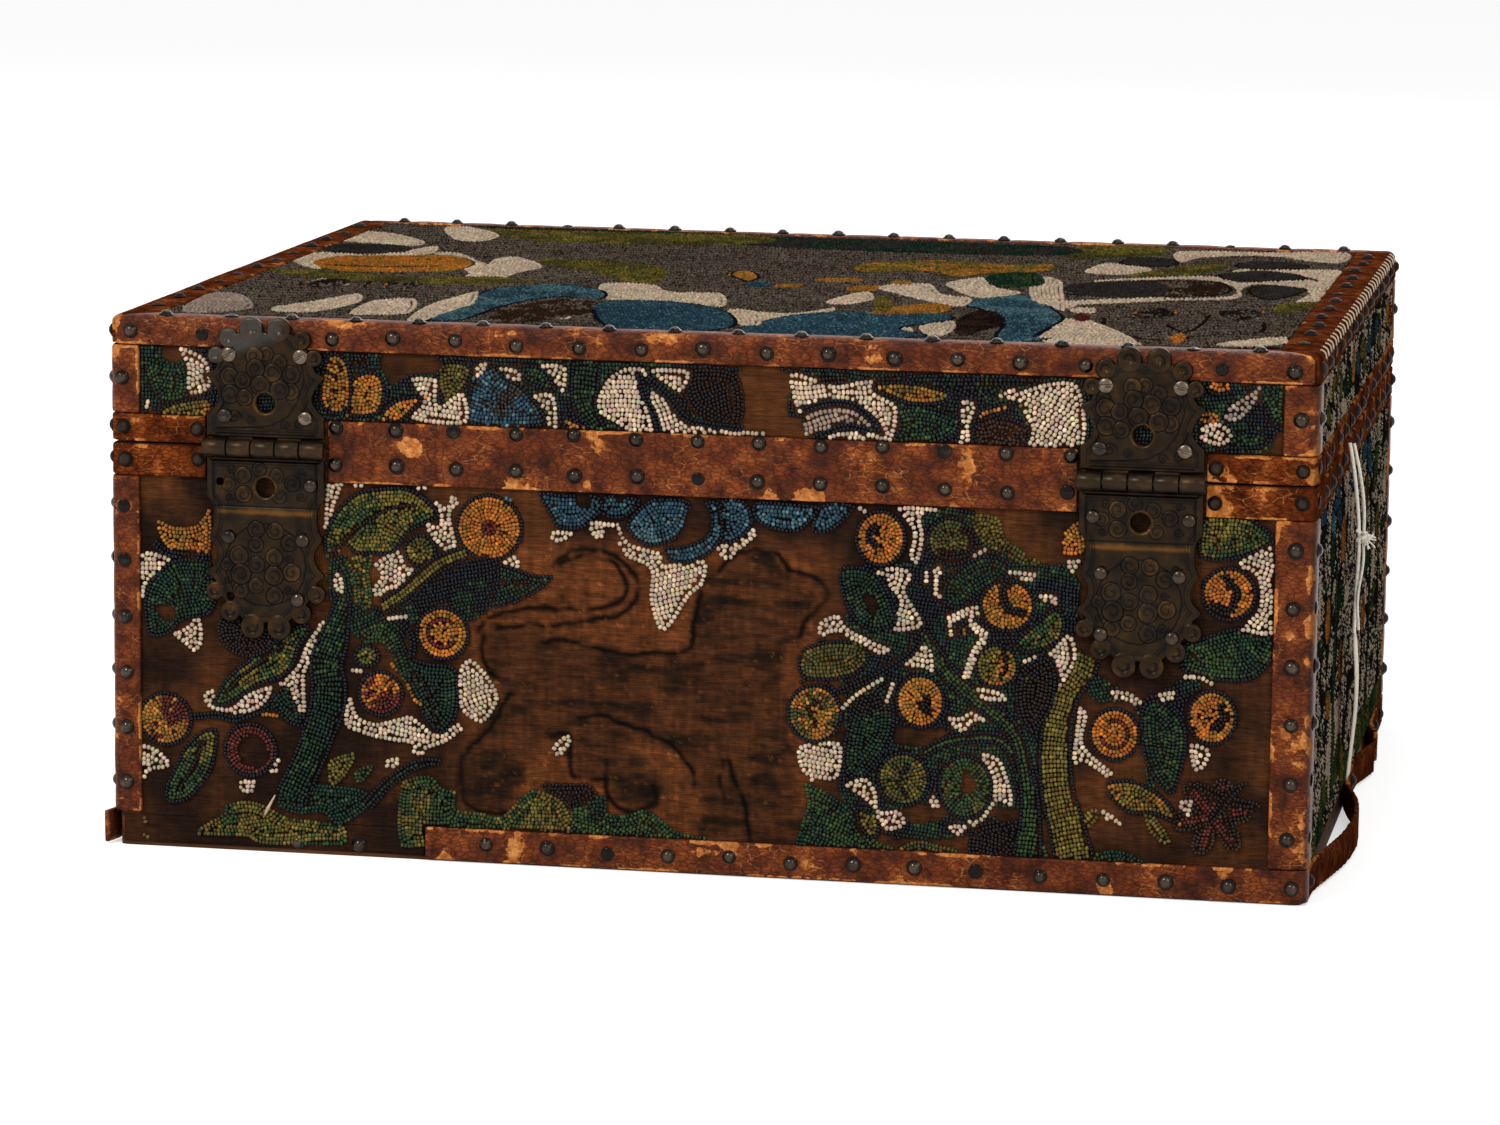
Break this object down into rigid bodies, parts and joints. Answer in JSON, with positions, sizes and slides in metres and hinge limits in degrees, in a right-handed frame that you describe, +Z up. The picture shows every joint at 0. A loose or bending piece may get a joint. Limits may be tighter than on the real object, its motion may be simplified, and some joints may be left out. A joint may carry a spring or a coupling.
{
  "type": "beadwork document box",
  "caption": "Rectangular wooden document box covered in bead embroidery, edged with nailed leather strips, with a lid on engraved butterfly hinges.",
  "frame": {"origin": "centre of the base's underside, where the box rests", "axes": "+Z up; +X along the long sides, to the right as seen from the hinge side; the hinge side faces -Y and the opening front faces +Y"},
  "size_m": [0.4324, 0.3436, 0.1894],
  "materials": {
    "wood": "old, dark, bare",
    "lining_cloth": "plain woven cloth",
    "beadwork": "sewn glass beads on brown linen",
    "leather": "worn, scuffed to orange at the edges",
    "dark_brass": "engraved, dark patina",
    "pin_steel": "dull",
    "string": "white cotton string",
    "tag_card": "plain card"
  },
  "bodies": {
    "case": {"case_rear_board": "wood", "case_front_board": "wood", "case_left_board": "wood", "case_right_board": "wood", "case_bottom_board": "wood", "case_lining": "lining_cloth", "case_rear_beadwork": "beadwork", "case_front_beadwork": "beadwork", "case_left_beadwork": "beadwork", "case_right_beadwork": "beadwork", "case_corner_leather_rear_left": "leather", "case_corner_leather_rear_right": "leather", "case_corner_leather_front_left": "leather", "case_corner_leather_front_right": "leather", "case_rim_leather": "leather", "hinge_band": "leather", "base_leather_front": "leather", "base_leather_rear": "leather", "base_leather_left": "leather", "base_leather_right": "leather", "base_leather_right_far": "leather", "hinge_case_leaf_left": "dark_brass", "hinge_case_leaf_right": "dark_brass", "hinge_pin_left": "pin_steel", "hinge_pin_right": "pin_steel", "tag_string": "string", "tag_card": "tag_card"},
    "lid": {"lid_top_board": "wood", "lid_rear_board": "wood", "lid_front_board": "wood", "lid_left_board": "wood", "lid_right_board": "wood", "lid_lining": "lining_cloth", "lid_top_beadwork": "beadwork", "lid_rear_beadwork": "beadwork", "lid_front_beadwork": "beadwork", "lid_left_beadwork": "beadwork", "lid_right_beadwork": "beadwork", "lid_top_leather_rear": "leather", "lid_top_leather_front": "leather", "lid_top_leather_left": "leather", "lid_top_leather_right": "leather", "lid_corner_leather_rear_left": "leather", "lid_corner_leather_rear_right": "leather", "lid_corner_leather_front_left": "leather", "lid_corner_leather_front_right": "leather", "lid_rim_leather": "leather", "hinge_lid_leaf_left": "dark_brass", "hinge_lid_leaf_right": "dark_brass"}
  },
  "joints": [
    {"name": "lid_hinge", "type": "hinge", "parent": "case", "child": "lid", "pos_m": [0, -0.1711, 0.1433], "axis": [1, 0, 0], "range_deg": [0, 110], "deforming": ["hinge_band"]}
  ]
}
